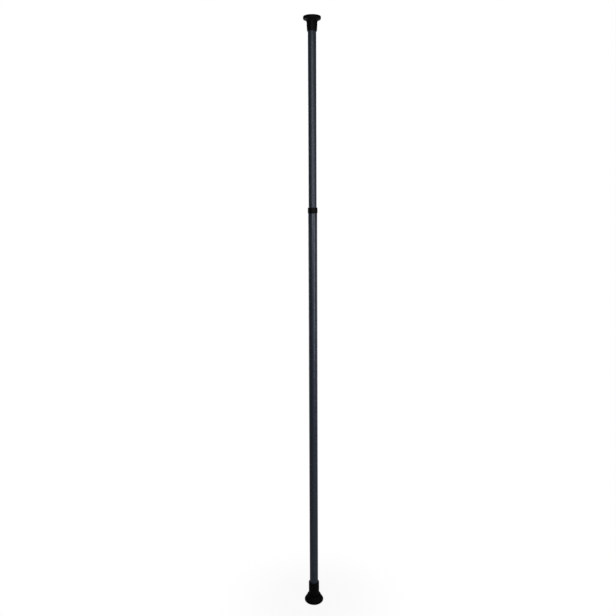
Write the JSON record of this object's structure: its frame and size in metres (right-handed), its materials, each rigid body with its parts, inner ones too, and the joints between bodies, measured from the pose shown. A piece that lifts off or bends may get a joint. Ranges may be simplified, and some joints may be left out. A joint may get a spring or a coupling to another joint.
{
  "type": "door security bar",
  "caption": "Telescopic door security bar: a slim tube slides in a larger one, a twist lock and a spring hold it, and flared rubber feet jam it between two faces.",
  "frame": {"origin": "centre of the lower shoe's tread, on the bar's axis", "axes": "+Z along the bar from the lower shoe to the upper one; the bar is round about Z, and X runs through two of the expander's slots"},
  "size_m": [0.0618, 0.0618, 1.8252],
  "materials": {
    "slate_paint": "dark slate satin paint on steel tube",
    "black_plastic": "black moulded plastic, low sheen",
    "black_rubber": "matt black rubber",
    "grey_nylon": "natural grey nylon",
    "zinc_plated_steel": "zinc-plated steel",
    "spring_steel": "oiled spring wire and clip"
  },
  "bodies": {
    "base": {"outer_tube": "slate_paint", "collar": "black_plastic", "lower_shoe": "black_rubber", "lower_socket": "black_plastic", "lower_washer": "zinc_plated_steel", "lower_screw": "zinc_plated_steel", "lower_plug": "grey_nylon"},
    "lock": {"expander": "grey_nylon"},
    "cone": {"cone_nut": "zinc_plated_steel"},
    "spindle": {"lock_spindle": "zinc_plated_steel", "retaining_clip": "spring_steel", "spring_seat": "zinc_plated_steel", "spindle_nut": "zinc_plated_steel", "preload_spring": "spring_steel"},
    "inner": {"inner_tube": "slate_paint", "guide_bush": "grey_nylon", "spring_stop": "grey_nylon", "upper_plug": "grey_nylon", "upper_socket": "black_plastic", "upper_washer": "zinc_plated_steel", "upper_screw": "zinc_plated_steel", "upper_shoe": "black_rubber"}
  },
  "joints": [
    {"name": "telescope", "type": "slide", "parent": "base", "child": "lock", "axis": [0, 0, 1], "range_m": [-0.457, 0.45]},
    {"name": "twist", "type": "hinge", "parent": "lock", "child": "spindle", "pos_m": [0, 0, 0.5452], "axis": [0, 0, 1], "range_deg": [0, 360]},
    {"name": "press", "type": "slide", "parent": "spindle", "child": "inner", "axis": [0, 0, 1], "range_m": [-0.035, 0], "stiffness_N_per_m": 3600, "springref_m": 0.012, "deforming": ["preload_spring"]},
    {"name": "cone_travel", "type": "slide", "parent": "lock", "child": "cone", "axis": [0, 0, -1], "range_m": [0, 0.0051]}
  ],
  "couplings": [
    {"joint": "cone_travel", "follows": "twist", "m_per_rad": 0.00079577}
  ]
}
